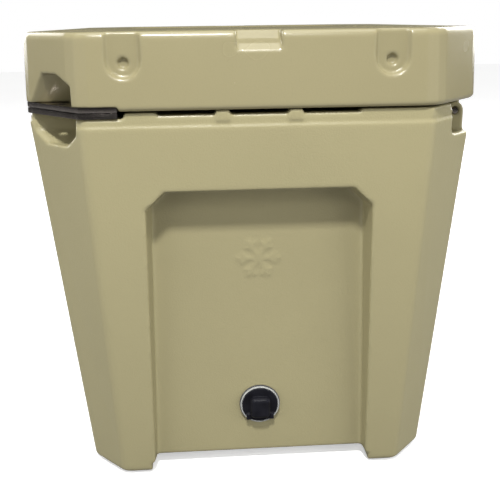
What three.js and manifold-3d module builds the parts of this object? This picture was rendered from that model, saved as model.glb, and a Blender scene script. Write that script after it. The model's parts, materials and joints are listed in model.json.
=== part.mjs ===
// Rotationally moulded cooler chest: a foam-filled tub with a recessed end panel and a drain, a foam-filled lid
// on a full-length hinge rod, two rubber T-latches, and metal padlock plates at the two front corners.
// Millimetres. X runs along the chest with the drain at +X, the latches face -Y, the hinge is at +Y, +Z is up.
// The origin is at the centre of the footprint, on the ground.
import * as THREE from "three";
import { mergeVertices } from "three/addons/utils/BufferGeometryUtils.js";
import Module from "manifold-3d";

const wasm = await Module();
wasm.setup();

// Driving dimensions.
const LENGTH = 520;
const WIDTH = 394;
const HEIGHT = 402;
const LID_HEIGHT = 61;
const RIM_GAP = 6; // between the tub's rim and the lid's underside
const SKIN = 4; // moulded polyethylene wall
const GAP = 0.3; // between pieces that touch
const DRAIN_HEIGHT = 62;
const ROD_RADIUS = 3.2;
const LATCH_SPACING = 260;
const SIDES = 24; // facets of a round piece

// Levels.
const LID_BOTTOM = HEIGHT - LID_HEIGHT;
const RIM = LID_BOTTOM - RIM_GAP;
const FOOT = 2.5; // underside of the moulded feet, above the rubber's contact face
const BASE = 12; // underside between the feet
const FLOOR = 36; // inside bottom

// Half outlines in plan. The end face is flat out to flatEnd, the side face out to flatSide.
const LID_LOW = { halfLength: LENGTH / 2, halfWidth: WIDTH / 2, flatEnd: 146, flatSide: LENGTH / 2 - 60 };
const LID_HIGH = {
  halfLength: LENGTH / 2 - 2.6,
  halfWidth: WIDTH / 2 - 2,
  flatEnd: 144.5,
  flatSide: LENGTH / 2 - 62,
};
const TUB_HIGH = {
  halfLength: LENGTH / 2 - 3,
  halfWidth: WIDTH / 2 - 1,
  flatEnd: 144,
  flatSide: LENGTH / 2 - 63,
};
const TUB_LOW = { halfLength: LENGTH / 2 - 19.7, halfWidth: 160, flatEnd: 129, flatSide: LENGTH / 2 - 53 };

// Side profiles: [height, how far in from the half outline there].
const LID_EDGE = 5; // rounding of the top edge
const LID_PROFILE = [
  [LID_BOTTOM, 2.4],
  [LID_BOTTOM + 2.4, 0],
  [HEIGHT - LID_EDGE, 0],
  [HEIGHT - LID_EDGE / 2, 0.134 * LID_EDGE],
  [HEIGHT - 0.134 * LID_EDGE, LID_EDGE / 2],
  [HEIGHT, LID_EDGE],
];
const RIM_BAND = 1.5; // the band below the rim is set in by this much
const TUB_PROFILE = [
  [FOOT, 2.5],
  [FOOT + 2.5, 0],
  [RIM - 7.4, 0],
  [RIM - 6.6, RIM_BAND],
  [RIM - 1.8, RIM_BAND],
  [RIM, RIM_BAND + 1.8],
];
const LID_CORNER = 24;
const TUB_CORNER = 9;

// Inside of the tub, and the lid's plug that goes into it.
const CAVITY_HIGH = { halfLength: 178, halfWidth: 140, radius: 26 };
const CAVITY_LOW = { halfLength: 168, halfWidth: 108, radius: 22 };
const LID_PLUG = { top: { halfLength: 174, halfWidth: 136, radius: 23 }, drop: 14, draft: 3 };
const SEAL = { halfLength: 187, halfWidth: 148, radius: 32, width: 8, groove: 3.5 };

// Recessed panel in each end, open at the bottom.
const PANEL_X = LENGTH / 2 - 34;
const ALCOVE = { bottomHalf: 102.7, sideHalf: 96.7, topHalf: 80, shoulder: 259, top: 275, draft: 4 };

const SIDE_PANEL = { half: 88, low: 48, high: 262, corner: 20, depth: 3.5, slope: 3 };
const TOP_PANEL = { halfLength: 196, halfWidth: 138, radius: 34, depth: 1.6, slope: 3 };
const FROST = { height: 206, arm: 19, half: 1.6, barb: 7, proud: 0.9 };

// Hinge.
const HINGE_Y = WIDTH / 2 - 14.5;
const HINGE_Z = LID_BOTTOM - 12.5;
const CHANNEL = { wall: 168, floor: HINGE_Z - 17, corner: 7 };
const POST_RADIUS = 8.5;
const KNUCKLE_RADIUS = 9;
const ROD_REACH = 190.8;
const POSTS = [[62, 126], [178, 190]];
const MIDDLE_KNUCKLE = [-60, 60];
const SIDE_KNUCKLE = [128, 176];

// Latches hang from pins in the lid.
const LATCH_PIN = { y: -189.5, z: 372, radius: 3, length: 47 };
const LATCH_X = [-LATCH_SPACING / 2, LATCH_SPACING / 2];
const STRAP = { front: -195, back: -186, halfWidth: 16 };
const KEEPER = { low: 297, high: 305, front: -183.4 };
const LATCH = {
  eye: 6.2,
  strapLow: 282,
  noseLow: 286,
  noseClear: 0.8,
  stemLow: 262,
  pullHalf: 30,
  pull: [[-196.8, 264], [-194, 261], [-191.3, 262], [-191.3, 284], [-193, 286], [-196.8, 283]],
};
const LATCH_SLOT = { lidHalf: 19, tubHalf: 22, back: -172, tubLow: 256, lidBack: -178, lidHigh: 386 };

// Padlock plates at the front corners.
const PLATE = { thick: 4.2, proud: 0.7, inset: 0.6, band: 24, endReach: 113.5, frontReach: 82 };
const PADLOCK_HOLE = { x: LENGTH / 2 - 36.5, y: -164, radius: 5 };
const TUB_PLATE_Z = RIM + GAP; // the tub's plates lie on the rim
const LID_PLATE_Z = LID_BOTTOM - PLATE.proud; // the lid's plates are let into its underside
const PLATE_SCREWS = [[LENGTH / 2 - 15, -128], [LENGTH / 2 - 75, -184]];
const SCREW = { head: 4.2, headHeight: 2.4, shank: 2, length: 16 };

// Feet.
const FOOT_PAD = { x: 209, y: 121, length: 44, width: 24, height: 6, corner: 6, sink: 1.2 };
const FOOT_INNER = { x: 158, y: 103 };

// Pockets in a front corner that leave room for a padlock.
// Each level is [height, x of the floor, y of the wall].
const LID_POCKET = [
  [LID_BOTTOM - 1, LENGTH / 2 - 55.5, -149.3],
  [LID_BOTTOM + 20, LENGTH / 2 - 44, -149.5],
  [LID_BOTTOM + 28.3, LENGTH / 2 - 39, -161.5],
];
const TUB_POCKET = [
  [RIM - 23.8, LENGTH / 2 - 45, -157.5],
  [RIM - 14, LENGTH / 2 - 57.5, -148.1],
  [RIM + 1, LENGTH / 2 - 60, -147.3],
];

// Pads, stops and a low lip on the rim's ends. Drops are measured down from the lid's underside.
const REST = { depth: 14, inset: 0.4, root: 3, padDrop: 1.5, lipDrop: 3.7, lipHalf: 85 };
const FRONT_PAD = [-109, -83.5];
const REAR_PAD = { from: 83.5, outerBend: 143, innerBend: 137, tip: 166.5, outerTip: 28, innerTip: 44 };
const STOP = { y: 29.5, half: 5.5, depth: 11, proud: 1.2, drop: 0.5 };

// Recesses and notch in the lid's end.
// The notch's side profile is [depth from the end face, drop from the top].
const RECESS = { y: 106.7, floorHalf: 12.6, faceHalf: 15.4, floorCentre: 380, depth: 5.5 };
const DIMPLE = { z: 378, radius: 4.4, depth: 3.5 };
const NOTCH = { half: 18, profile: [[26, -1], [18, 7], [8, 10], [-1, 18]] };

// Drain, its heights measured outwards from the end panel's face.
const DRAIN = {
  ring: 18.3,
  tube: 12.5,
  bore: 9.6,
  seat: 12,
  seatFloor: 1.5,
  flangeBack: 1.3,
  flange: 2.5,
  cap: 15.7,
  shaft: 8.6,
  plugEnd: -20,
};
const NUT = { radius: 17.2, thick: 5.2, clear: 2.2 };
const GRIP = {
  foot: { halfLength: 7.4, halfWidth: 13, radius: 6 },
  crest: { halfLength: 5.2, halfWidth: 11, radius: 4.5 },
  height: 12,
  offset: -1.5,
};

// Ports that the foam is poured through, and their plugs.
const PORT_RADIUS = 12;
const TUB_PORT_X = 100;
const PLUG_THICK = SKIN + 2;

// Colours.
const MATERIALS = {
  lid: { color: 0xa69c78, roughness: 0.36, metalness: 0 },
  tub: { color: 0xada584, roughness: 0.42, metalness: 0 },
  foam: { color: 0xe6dcb4, roughness: 0.95, metalness: 0 },
  plate: { color: 0xb4b1ab, roughness: 0.3, metalness: 1 },
  steel: { color: 0xc4c4c2, roughness: 0.25, metalness: 1 },
  rubber: { color: 0x16171a, roughness: 0.75, metalness: 0 },
  plug: { color: 0x101114, roughness: 0.45, metalness: 0 },
  seal: { color: 0x2b2c2e, roughness: 0.85, metalness: 0 },
  ring: { color: 0xc9cac6, roughness: 0.3, metalness: 0.2 },
};

// A closed geometry as a solid that can be joined and cut.
function solidFrom(geometry) {
  const bare = geometry.index ? geometry.toNonIndexed() : geometry.clone();
  bare.deleteAttribute("normal");
  bare.deleteAttribute("uv");
  const merged = mergeVertices(bare, 1e-4);
  return new wasm.Manifold(new wasm.Mesh({
    numProp: 3,
    vertProperties: merged.attributes.position.array,
    triVerts: new Uint32Array(merged.index.array),
  }));
}

function geometryFrom(solid) {
  const mesh = solid.getMesh();
  const geometry = new THREE.BufferGeometry();
  geometry.setAttribute("position", new THREE.BufferAttribute(mesh.vertProperties, 3));
  geometry.setIndex(new THREE.BufferAttribute(mesh.triVerts, 1));
  geometry.computeVertexNormals();
  return geometry;
}

function join(geometries) {
  return geometries.map(solidFrom).reduce((whole, piece) => whole.add(piece));
}

function cut(solid, geometries) {
  return geometries.map(solidFrom).reduce((rest, tool) => rest.subtract(tool), solid);
}

// A straight prism: the outline's points stand from low to high along Z.
function prism(points, low, high) {
  const shape = new THREE.Shape(points.map(([x, y]) => new THREE.Vector2(x, y)));
  const geometry = new THREE.ExtrudeGeometry(shape, { depth: high - low, bevelEnabled: false });
  return geometry.translate(0, 0, low);
}

// A solid whose outline changes from level to level.
// Each level is [height, points], with as many points as the rest.
function loft(levels) {
  const first = levels[0][1];
  const steps = levels.length - 1;
  const shape = new THREE.Shape(first.map(([x, y]) => new THREE.Vector2(x, y)));
  const geometry = new THREE.ExtrudeGeometry(shape, { depth: steps, steps, bevelEnabled: false });
  const position = geometry.attributes.position;
  for (let i = 0; i < position.count; i += 1) {
    const at = first.findIndex(([x, y]) => Math.hypot(x - position.getX(i), y - position.getY(i)) < 1e-3);
    const [height, points] = levels[Math.round(position.getZ(i))];
    position.setXYZ(i, points[at][0], points[at][1], height);
  }
  return geometry;
}

// Turns a prism so that its outline's (x, y) become (Y, Z) and it stands along X.
function alongX(geometry) {
  return geometry.applyMatrix4(new THREE.Matrix4().makeBasis(
    new THREE.Vector3(0, 1, 0),
    new THREE.Vector3(0, 0, 1),
    new THREE.Vector3(1, 0, 0),
  ));
}

function box(low, high) {
  const size = high.map((value, i) => value - low[i]);
  const centre = high.map((value, i) => (value + low[i]) / 2);
  return new THREE.BoxGeometry(...size).translate(...centre);
}

// A round bar along Z from low to high.
function bar(radius, low, high, sides = SIDES) {
  return new THREE.CylinderGeometry(radius, radius, high - low, sides)
    .rotateX(Math.PI / 2)
    .translate(0, 0, (low + high) / 2);
}

// A ring or turned piece about Z. The profile is a closed loop of [radius, height].
function turned(profile, sides = SIDES) {
  const closed = [...profile, profile[0]].map(([r, z]) => new THREE.Vector2(r, z));
  return new THREE.LatheGeometry(closed, sides).rotateX(Math.PI / 2);
}

// The mirror image across the plane x = 0.
function mirrored(geometry) {
  const copy = (geometry.index ? geometry.toNonIndexed() : geometry.clone()).scale(-1, 1, 1);
  const position = copy.attributes.position;
  for (let i = 0; i < position.count; i += 3) {
    const a = [position.getX(i + 1), position.getY(i + 1), position.getZ(i + 1)];
    position.setXYZ(i + 1, position.getX(i + 2), position.getY(i + 2), position.getZ(i + 2));
    position.setXYZ(i + 2, ...a);
  }
  return copy;
}

function bothEnds(geometries) {
  return [...geometries, ...geometries.map(mirrored)];
}

// The plan outline with four cut-off corners, moved inwards by inset on every side.
function corneredOutline({ halfLength, halfWidth, flatEnd, flatSide }, inset = 0) {
  const normal = new THREE.Vector2(halfWidth - flatEnd, halfLength - flatSide).normalize();
  const reach = normal.x * halfLength + normal.y * flatEnd - inset;
  const x = halfLength - inset;
  const y = halfWidth - inset;
  const end = (reach - normal.x * x) / normal.y;
  const side = (reach - normal.y * y) / normal.x;
  return [[x, -end], [x, end], [side, y], [-side, y], [-x, end], [-x, -end], [-side, -y], [side, -y]];
}

// Rounds every corner of an outline that runs anticlockwise.
function roundCorners(points, radius, steps = 2) {
  return points.flatMap((corner, i) => {
    const before = points[(i + points.length - 1) % points.length];
    const after = points[(i + 1) % points.length];
    const heading = Math.atan2(corner[1] - before[1], corner[0] - before[0]);
    let turn = Math.atan2(after[1] - corner[1], after[0] - corner[0]) - heading;
    if (turn < 0) turn += 2 * Math.PI;
    const reach = radius * Math.tan(turn / 2);
    const centreX = corner[0] - reach * Math.cos(heading) - radius * Math.sin(heading);
    const centreY = corner[1] - reach * Math.sin(heading) + radius * Math.cos(heading);
    return arc(centreX, centreY, radius, heading - Math.PI / 2, heading - Math.PI / 2 + turn, steps);
  });
}

// How far in the side profile is at a height.
function edgeAt(profile, height) {
  const i = Math.max(1, profile.findIndex(([z]) => z >= height));
  const [[z0, edge0], [z1, edge1]] = [profile[i - 1], profile[i]];
  return edge0 + (edge1 - edge0) * (height - z0) / (z1 - z0);
}

// A body between two half outlines, following a side profile, with every face moved in by inset.
function profiledBody(lowOutline, highOutline, profile, corner, inset) {
  const low = profile[0][0];
  const high = profile[profile.length - 1][0];
  const [bottom, top] = [low + inset, high - inset];
  const between = profile.map(([z]) => z).filter((z) => z > bottom + 0.2 && z < top - 0.2);
  return loft([bottom, ...between, top].map((height) => {
    const share = (height - low) / (high - low);
    const outline = {};
    Object.keys(lowOutline).forEach((key) => {
      outline[key] = lowOutline[key] + (highOutline[key] - lowOutline[key]) * share;
    });
    const moved = edgeAt(profile, height) + inset;
    return [height, roundCorners(corneredOutline(outline, moved), corner)];
  }));
}

// The plan outline with four round corners.
function roundedOutline({ halfLength, halfWidth, radius }, grow = 0, steps = 4) {
  const points = [];
  const r = radius + grow;
  [[1, 1], [-1, 1], [-1, -1], [1, -1]].forEach(([sx, sy], quarter) => {
    for (let i = 0; i <= steps; i += 1) {
      const angle = (quarter + i / steps) * Math.PI / 2;
      points.push([
        sx * (halfLength - radius) + r * Math.cos(angle),
        sy * (halfWidth - radius) + r * Math.sin(angle),
      ]);
    }
  });
  return points;
}

// The recess of an end panel, grown by grow into the tub.
function alcoveCutter(grow) {
  const outline = (extra) => [
    [-ALCOVE.bottomHalf - extra, -grow - 1],
    [ALCOVE.bottomHalf + extra, -grow - 1],
    [ALCOVE.sideHalf + extra, ALCOVE.shoulder + extra / 2],
    [ALCOVE.topHalf + extra / 2, ALCOVE.top + extra],
    [-ALCOVE.topHalf - extra / 2, ALCOVE.top + extra],
    [-ALCOVE.sideHalf - extra, ALCOVE.shoulder + extra / 2],
  ];
  return alongX(loft([
    [PANEL_X - grow, outline(grow - ALCOVE.draft)],
    [LENGTH / 2 + 1, outline(grow)],
  ]));
}

// A shallow panel let into the sloping front face, with cut-off top corners.
function sidePanelCutter(grow) {
  const rise = RIM - FOOT;
  const lean = Math.atan2(TUB_HIGH.halfWidth - TUB_LOW.halfWidth, rise);
  const middle = (SIDE_PANEL.low + SIDE_PANEL.high) / 2;
  const half = (SIDE_PANEL.high - SIDE_PANEL.low) / 2;
  const outline = (extra) => {
    const side = SIDE_PANEL.half + extra;
    const top = half + extra;
    const { corner } = SIDE_PANEL;
    return [
      [-side, -top],
      [side, -top],
      [side, top - corner],
      [side - corner, top],
      [corner - side, top],
      [-side, top - corner],
    ];
  };
  const faceY = TUB_LOW.halfWidth + (TUB_HIGH.halfWidth - TUB_LOW.halfWidth) * (middle - FOOT) / rise;
  return loft([
    [-SIDE_PANEL.depth - grow, outline(grow - SIDE_PANEL.slope)],
    [4, outline(grow + SIDE_PANEL.slope)],
  ]).applyMatrix4(new THREE.Matrix4().makeBasis(
    new THREE.Vector3(1, 0, 0),
    new THREE.Vector3(0, -Math.sin(lean), Math.cos(lean)),
    new THREE.Vector3(0, -Math.cos(lean), -Math.sin(lean)),
  )).translate(0, -faceY, middle);
}

function padlockPocket(levels, grow) {
  const outside = -WIDTH / 2 - 4;
  const end = LENGTH / 2 + 4;
  return loft(levels.map(([height, floorX, wallY], i) => {
    const shift = [-grow, 0, grow][i];
    const wall = wallY + grow;
    const floor = floorX - grow;
    return [height + shift, [[floor, outside], [end, outside], [end, wall], [floor, wall]]];
  }));
}

// The hinge's channel along the back, open at both ends and to the rear.
function channelCutter(grow) {
  const outside = WIDTH / 2 + 4;
  const { wall, floor, corner } = CHANNEL;
  return alongX(prism([
    [outside, RIM + 4 + grow],
    [wall - grow, RIM + 4 + grow],
    ...arc(wall + corner, floor + corner, corner + grow, Math.PI, 1.5 * Math.PI, 3),
    [outside, floor - 1 - grow],
  ], -LENGTH / 2 - 2, LENGTH / 2 + 2));
}

// Slots in the front for the latches: one in the tub and one in the lid for each.
function latchSlotCutter(x, half, low, high, back, grow) {
  return box([x - half - grow, -WIDTH / 2 - 4, low - grow], [x + half + grow, back + grow, high + grow]);
}

// Everything hollowed out of the tub's outside and inside, grown by grow.
function tubCutters(grow) {
  const cavity = loft([
    [FLOOR - grow, roundedOutline(CAVITY_LOW, grow - 8)],
    [FLOOR + 2.5 - grow, roundedOutline(CAVITY_LOW, grow - 2.5)],
    [FLOOR + 9 - grow, roundedOutline(CAVITY_LOW, grow)],
    [RIM + 1, roundedOutline(CAVITY_HIGH, grow)],
  ]);
  const underside = [
    box([-LENGTH, -FOOT_INNER.y - grow, -1], [LENGTH, FOOT_INNER.y + grow, BASE + grow]),
    box([-FOOT_INNER.x - grow, -WIDTH, -1], [FOOT_INNER.x + grow, WIDTH, BASE + grow]),
  ];
  const slots = LATCH_X.map(
    (x) => latchSlotCutter(x, LATCH_SLOT.tubHalf, LATCH_SLOT.tubLow, RIM + 1, LATCH_SLOT.back, grow),
  );
  const footPockets = footPlaces().map(
    ([x, y]) => footPadBlock(GAP + grow, FOOT - 1, FOOT_PAD.height + GAP + grow).translate(x, y, 0),
  );
  return [
    cavity,
    ...underside,
    ...slots,
    ...footPockets,
    channelCutter(grow),
    sidePanelCutter(grow),
    sidePanelCutter(grow).rotateZ(Math.PI),
    ...bothEnds([alcoveCutter(grow), padlockPocket(TUB_POCKET, grow)]),
  ];
}

function footPlaces() {
  const { x, y } = FOOT_PAD;
  return [[x, -y], [x, y], [-x, y], [-x, -y]];
}

function footPadBlock(grow, low, high) {
  const outline = { halfLength: FOOT_PAD.length / 2, halfWidth: FOOT_PAD.width / 2, radius: FOOT_PAD.corner };
  return prism(roundedOutline(outline, grow, 2), low, high);
}

function tubBlock(inset) {
  return profiledBody(TUB_LOW, TUB_HIGH, TUB_PROFILE, TUB_CORNER, inset);
}

// A hinge post of the tub, standing on the channel's floor with a round top about the rod.
function hingePost([from, to]) {
  const foot = CHANNEL.floor - 3;
  return alongX(prism([
    [HINGE_Y + POST_RADIUS, foot],
    ...arc(HINGE_Y, HINGE_Z, POST_RADIUS, 0, Math.PI, 8),
    [HINGE_Y - POST_RADIUS, foot],
  ], from, to));
}

// A knuckle that hangs from the lid's underside and swings inside the channel.
function hingeKnuckle([from, to]) {
  return alongX(prism([
    [HINGE_Y - KNUCKLE_RADIUS, LID_BOTTOM + 1],
    ...arc(HINGE_Y, HINGE_Z, KNUCKLE_RADIUS, Math.PI, 2 * Math.PI, 8),
    [HINGE_Y + KNUCKLE_RADIUS, LID_BOTTOM + 1],
  ], from, to));
}

function arc(cx, cy, radius, start, end, steps) {
  return Array.from({ length: steps + 1 }, (_, i) => {
    const angle = start + (end - start) * i / steps;
    return [cx + radius * Math.cos(angle), cy + radius * Math.sin(angle)];
  });
}

function rodHole() {
  return alongX(bar(ROD_RADIUS + GAP, -LENGTH / 2, LENGTH / 2, 16).translate(HINGE_Y, HINGE_Z, 0));
}

// Raised pads and stops on the rim at each end, which carry the closed lid, and a low lip between the pads.
function rimRests() {
  const end = TUB_HIGH.halfLength - RIM_BAND;
  const outer = end - REST.inset;
  const inner = end - REST.depth;
  const low = RIM - REST.root;
  const padTop = LID_BOTTOM - REST.padDrop;
  const lipTop = LID_BOTTOM - REST.lipDrop;
  const stopTop = LID_BOTTOM - STOP.drop;
  const frontPad = box([inner, FRONT_PAD[0], low], [outer, FRONT_PAD[1], padTop]);
  const rearPad = prism([
    [outer, REAR_PAD.from],
    [outer, REAR_PAD.outerBend],
    [end - REAR_PAD.outerTip, REAR_PAD.tip],
    [end - REAR_PAD.innerTip, REAR_PAD.tip],
    [inner, REAR_PAD.innerBend],
    [inner, REAR_PAD.from],
  ], low, padTop);
  const lip = box([inner, -REST.lipHalf, low], [outer, REST.lipHalf, lipTop]);
  const stops = [-STOP.y, STOP.y].map((y) => (
    box([end - STOP.depth, y - STOP.half, low], [end + STOP.proud, y + STOP.half, stopTop])
  ));
  return bothEnds([frontPad, rearPad, lip, ...stops]);
}

// A six-armed frost mark standing proud of the end panel: three crossing bars with two barbs at each end.
function frostMark() {
  const face = PANEL_X + FROST.proud;
  const root = PANEL_X - 1;
  const pieces = [0, 1, 2].flatMap((turn) => {
    const arm = box([root, -FROST.arm, -FROST.half], [face, FROST.arm, FROST.half]);
    const barbs = [-1, 1].flatMap((side) => [-side * Math.PI / 4, Math.PI + side * Math.PI / 4].map((lean) => (
      box([root, -FROST.half * 0.7, 0], [face, FROST.half * 0.7, FROST.barb])
        .rotateX(lean)
        .translate(0, side * FROST.arm * 0.55, 0)
    )));
    return [arm, ...barbs].map((piece) => piece.rotateX(turn * Math.PI / 3));
  });
  return pieces.map((piece) => piece.translate(0, 0, FROST.height));
}

function keeperRidges() {
  return LATCH_X.map((x) => box(
    [x - LATCH_SLOT.tubHalf - 1, KEEPER.front, KEEPER.low],
    [x + LATCH_SLOT.tubHalf + 1, LATCH_SLOT.back + 1, KEEPER.high],
  ));
}

function drainBore(radius) {
  return alongX(bar(radius, CAVITY_LOW.halfLength - 8, PANEL_X + 1).translate(0, DRAIN_HEIGHT, 0));
}

function foamPorts(radius, low, high) {
  return [-TUB_PORT_X, TUB_PORT_X].map((x) => bar(radius, low, high).translate(x, 0, 0));
}

// Holes for the screws that hold the tub's padlock plates and the feet.
function tubScrewHoles() {
  const radius = SCREW.shank + GAP;
  const plateHoles = PLATE_SCREWS.map(([x, y]) => (
    bar(radius, RIM - SCREW.length, RIM + 1, 12).translate(x, y, 0)
  ));
  const footHoles = footPlaces().map(([x, y]) => (
    bar(radius, FOOT, FOOT + SCREW.length + 3, 12).translate(x, y, 0)
  ));
  return [...bothEnds(plateHoles), ...footHoles];
}

function tubShell() {
  const outside = cut(solidFrom(tubBlock(0)), tubCutters(0));
  const foamSpace = cut(solidFrom(tubBlock(SKIN)), tubCutters(SKIN));
  const ribs = [
    ...bothEnds(POSTS.map(hingePost)),
    ...rimRests(),
    ...keeperRidges(),
    ...frostMark(),
  ];
  const shell = outside.subtract(foamSpace).add(join(ribs));
  return cut(shell, [
    rodHole(),
    drainBore(DRAIN.tube + GAP),
    ...foamPorts(PORT_RADIUS + GAP, BASE - 1, BASE + SKIN + 1),
    ...tubScrewHoles(),
  ]);
}

function tubFoam() {
  const clear = SKIN + GAP;
  const foam = cut(solidFrom(tubBlock(clear)), tubCutters(clear));
  return cut(foam, [
    drainBore(DRAIN.tube + GAP),
    ...foamPorts(PORT_RADIUS + GAP, BASE - 1, BASE + SKIN + 3),
    ...tubScrewHoles(),
  ]);
}

// Lid outside and the hollows in it.
function lidBlock(inset) {
  return profiledBody(LID_LOW, LID_HIGH, LID_PROFILE, LID_CORNER, inset);
}

function lidPlug(inset) {
  const low = { ...LID_PLUG.top };
  low.halfLength -= LID_PLUG.draft;
  low.halfWidth -= LID_PLUG.draft;
  return loft([
    [LID_BOTTOM - LID_PLUG.drop + inset, roundedOutline(low, -inset)],
    [LID_BOTTOM + 1 + inset, roundedOutline(LID_PLUG.top, -inset)],
  ]);
}

function sealRing(grow, low, high) {
  const half = SEAL.width / 2 + grow;
  const outer = solidFrom(prism(roundedOutline(SEAL, half), low, high));
  return outer.subtract(solidFrom(prism(roundedOutline(SEAL, -half), low - 1, high + 1)));
}

// U-shaped recesses, open at the lid's top edge, with sloping sides and a round dimple in each.
function endRecesses(grow) {
  const outline = (half) => [
    [half, HEIGHT + 1],
    ...arc(0, RECESS.floorCentre, half, 0, -Math.PI, 8),
    [-half, HEIGHT + 1],
  ];
  const floorX = LENGTH / 2 - RECESS.depth - grow;
  const recess = alongX(loft([
    [floorX, outline(RECESS.floorHalf + grow)],
    [LENGTH / 2 + 0.5, outline(RECESS.faceHalf + grow)],
  ]));
  const dimple = alongX(bar(DIMPLE.radius + grow, floorX - DIMPLE.depth, LENGTH / 2, 16));
  return [-RECESS.y, RECESS.y].flatMap((y) => [
    recess.clone().translate(0, y, 0),
    dimple.clone().translate(0, y, DIMPLE.z),
  ]);
}

// The strap notch in the middle of the lid's end edge: two ramps down to the end face.
function endNotch(grow) {
  const end = LENGTH / 2;
  const side = [
    [end + 1, HEIGHT + 1],
    ...NOTCH.profile.map(([depth, drop]) => [end - depth - grow, HEIGHT - drop - grow]),
  ];
  const upright = new THREE.Matrix4().makeBasis(
    new THREE.Vector3(1, 0, 0),
    new THREE.Vector3(0, 0, 1),
    new THREE.Vector3(0, -1, 0),
  );
  return prism(side, -NOTCH.half - grow, NOTCH.half + grow).applyMatrix4(upright);
}

function lidCutters(grow) {
  const slots = LATCH_X.map((x) => latchSlotCutter(
    x,
    LATCH_SLOT.lidHalf,
    LID_BOTTOM - 1,
    LATCH_SLOT.lidHigh,
    LATCH_SLOT.lidBack,
    grow,
  ));
  const seatTop = LID_PLATE_Z + PLATE.thick + GAP + grow;
  const plateSeat = prism(plateOutline(1 + grow, 6), LID_BOTTOM - 1, seatTop);
  const topPanel = loft([
    [HEIGHT - TOP_PANEL.depth - grow, roundedOutline(TOP_PANEL, grow - TOP_PANEL.slope)],
    [HEIGHT + 1, roundedOutline(TOP_PANEL, grow)],
  ]);
  return [
    topPanel,
    ...slots,
    ...bothEnds([
      plateSeat,
      padlockPocket(LID_POCKET, grow),
      endNotch(grow),
      ...endRecesses(grow),
    ]),
  ];
}

function lidScrewHoles() {
  const top = LID_BOTTOM + SCREW.length + 2;
  return bothEnds(PLATE_SCREWS.map(([x, y]) => (
    bar(SCREW.shank + GAP, LID_BOTTOM - 1, top, 12).translate(x, y, 0)
  )));
}

function latchPinHoles() {
  return LATCH_X.map((x) => alongX(bar(
    LATCH_PIN.radius + GAP,
    x - LATCH_PIN.length / 2 - GAP,
    x + LATCH_PIN.length / 2 + GAP,
    16,
  ).translate(LATCH_PIN.y, LATCH_PIN.z, 0)));
}

function lidShell() {
  const outside = cut(join([lidBlock(0), lidPlug(0)]), lidCutters(0));
  const foamSpace = cut(join([lidBlock(SKIN), lidPlug(SKIN)]), lidCutters(SKIN))
    .subtract(sealRing(SKIN, LID_BOTTOM - 1, LID_BOTTOM + SEAL.groove + SKIN));
  const shell = outside
    .subtract(foamSpace)
    .subtract(sealRing(GAP, LID_BOTTOM - 1, LID_BOTTOM + SEAL.groove));
  const knuckles = [hingeKnuckle(MIDDLE_KNUCKLE), ...bothEnds([hingeKnuckle(SIDE_KNUCKLE)])];
  const bottom = LID_BOTTOM - LID_PLUG.drop;
  return cut(shell.add(join(knuckles)), [
    rodHole(),
    ...lidScrewHoles(),
    ...latchPinHoles(),
    bar(PORT_RADIUS + GAP, bottom - 1, bottom + SKIN + 1),
  ]);
}

function lidFoam() {
  const clear = SKIN + GAP;
  const bottom = LID_BOTTOM - LID_PLUG.drop;
  const foam = cut(join([lidBlock(clear), lidPlug(clear)]), lidCutters(clear))
    .subtract(sealRing(clear, LID_BOTTOM - 1, LID_BOTTOM + SEAL.groove + clear));
  return cut(foam, [
    ...lidScrewHoles(),
    ...latchPinHoles(),
    bar(PORT_RADIUS + GAP, bottom - 1, bottom + SKIN + 3),
  ]);
}

// A padlock plate's outline follows the tub's rim round the front corner. Its seat in the lid is the same
// outline with some clearance inside, reaching out past the lid's face.
function plateOutline(clearance = 0, beyond = 0) {
  const { halfLength, halfWidth, flatEnd, flatSide } = TUB_HIGH;
  const endFace = halfLength - PLATE.inset;
  const frontFace = PLATE.inset - halfWidth;
  const backEdge = endFace - PLATE.band - clearance;
  const innerEdge = frontFace + PLATE.band + clearance;
  const rightEdge = clearance - PLATE.endReach;
  const leftEdge = LENGTH / 2 - PLATE.frontReach - clearance;
  return [
    [endFace + beyond, rightEdge],
    [backEdge, rightEdge],
    [backEdge, -flatEnd + 9],
    [flatSide - 8, innerEdge],
    [leftEdge, innerEdge],
    [leftEdge, frontFace - beyond],
    [flatSide, frontFace - beyond],
    [endFace + beyond, -flatEnd],
  ];
}

// sign is +1 where the screw heads sit in the plate's top, -1 where they sit in its underside.
function padlockPlate(low, sign) {
  const high = low + PLATE.thick;
  const sinkMiddle = (SCREW.headHeight - GAP) / 2;
  const heads = PLATE_SCREWS.flatMap(([x, y]) => {
    const through = bar(SCREW.shank + GAP, low - 1, high + 1, 12);
    const sink = new THREE.CylinderGeometry(
      SCREW.head + GAP,
      SCREW.shank + GAP,
      SCREW.headHeight + GAP,
      16,
    ).rotateX(sign * Math.PI / 2).translate(0, 0, sign > 0 ? high - sinkMiddle : low + sinkMiddle);
    return [through.translate(x, y, 0), sink.translate(x, y, 0)];
  });
  const hole = bar(PADLOCK_HOLE.radius, low - 1, high + 1).translate(PADLOCK_HOLE.x, PADLOCK_HOLE.y, 0);
  return cut(solidFrom(prism(plateOutline(), low, high)), [...heads, hole]);
}

// A countersunk screw pointing down, its head's face at height 0.
function countersunkScrew() {
  const { head, headHeight, shank, length } = SCREW;
  return turned([
    [0, 0],
    [0, -length],
    [shank * 0.6, -length],
    [shank, -length + 2],
    [shank, -headHeight],
    [head, 0],
  ], 12);
}

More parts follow.
